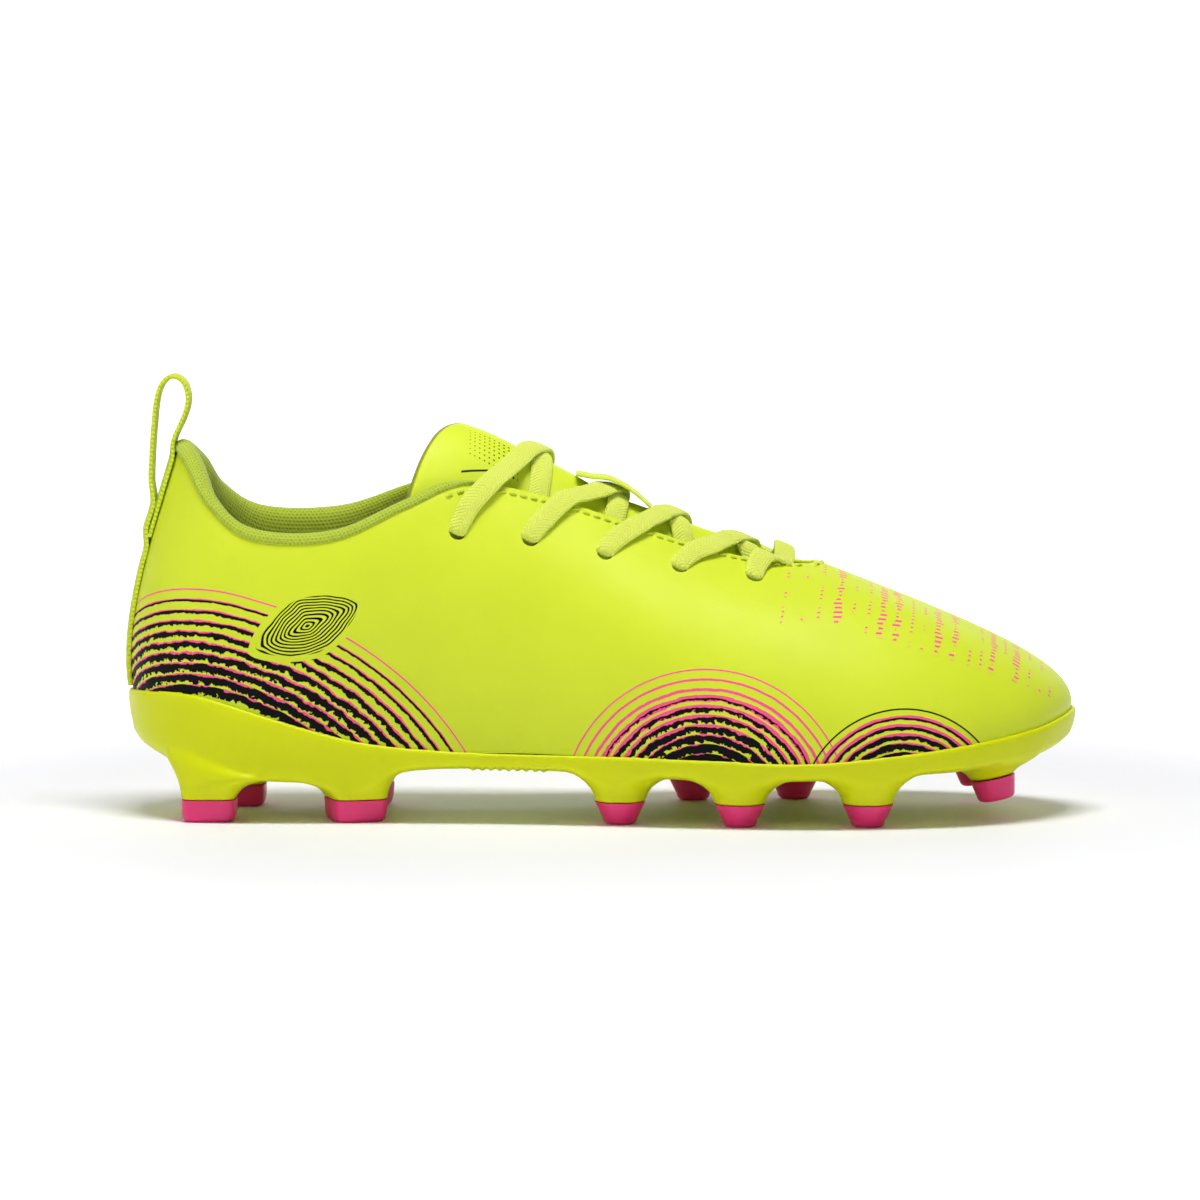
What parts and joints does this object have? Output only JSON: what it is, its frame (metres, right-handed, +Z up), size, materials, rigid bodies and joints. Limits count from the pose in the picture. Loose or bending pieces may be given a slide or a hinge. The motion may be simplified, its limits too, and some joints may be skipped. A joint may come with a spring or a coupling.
{
  "type": "football boot",
  "caption": "Low-cut laced football boot for the right foot with a padded collar, a pull loop and a moulded sole plate with conical and squared studs.",
  "frame": {"origin": "on the ground plane under the middle of the boot's bounding box", "axes": "+X towards the toe, +Z up, -Y is the outer (lateral) side of the right foot"},
  "size_m": [0.2395, 0.0866, 0.1106],
  "materials": {
    "sole_plate": "semi-gloss moulded olive-lime",
    "stud_tip": "satin pink moulding",
    "board": "off-white fibre board",
    "sockliner": "foam with a brushed cloth top",
    "upper": "matte synthetic with printed arcs",
    "lining": "knitted mesh",
    "stiffener": "thermoplastic sheet",
    "foam": "open-cell foam",
    "collar_mesh": "spacer mesh",
    "reinforcement": "woven backing tape",
    "thread": "bonded sewing thread",
    "tongue": "matte synthetic on foam",
    "lace": "flat woven lace",
    "aglet": "clear film tip",
    "webbing": "twill webbing"
  },
  "bodies": {
    "root": {"outsole_plate": "sole_plate", "strobel_board": "board", "sockliner_front": "sockliner", "upper_skin": "upper", "lining": "lining", "heel_counter": "stiffener", "toe_puff": "stiffener", "collar_foam": "foam", "collar_cover": "collar_mesh", "eyestay_lateral": "reinforcement", "eyestay_medial": "reinforcement", "eyestay_stitches": "thread", "tongue_body": "tongue", "lace_keeper": "tongue", "lace": "lace", "lace_tail_lateral": "lace", "lace_tail_medial": "lace", "aglet_lateral": "aglet", "aglet_medial": "aglet", "heel_webbing": "webbing", "stud_tip_heel_rear_lateral": "stud_tip", "stud_tip_heel_front_lateral": "stud_tip", "stud_tip_heel_rear_medial": "stud_tip", "stud_tip_heel_front_medial": "stud_tip", "stud_tip_fore_lateral_1": "stud_tip", "stud_tip_fore_lateral_2": "stud_tip", "stud_tip_fore_lateral_3": "stud_tip", "stud_tip_fore_medial_1": "stud_tip", "stud_tip_fore_medial_2": "stud_tip", "stud_tip_toe_lateral": "stud_tip", "stud_tip_toe_medial": "stud_tip"},
    "tongue_end": {"tongue_flap": "tongue"},
    "heel_loop": {"pull_loop": "webbing"},
    "sockliner_heel": {"sockliner_rear": "sockliner"}
  },
  "joints": [
    {"name": "tongue_fold", "type": "hinge", "parent": "root", "child": "tongue_end", "pos_m": [-0.0221, 0, 0.0932], "axis": [0, 1, 0], "range_deg": [-5, 35], "stiffness_Nm_per_rad": 0.02},
    {"name": "pull_loop_swing", "type": "hinge", "parent": "root", "child": "heel_loop", "pos_m": [-0.1132, 0, 0.0822], "axis": [0, 1, 0], "range_deg": [-70, 0], "stiffness_Nm_per_rad": 0.004},
    {"name": "sockliner_peel", "type": "hinge", "parent": "root", "child": "sockliner_heel", "pos_m": [0.0079, 0, 0.0205], "axis": [0, 1, 0], "range_deg": [0, 12]}
  ]
}
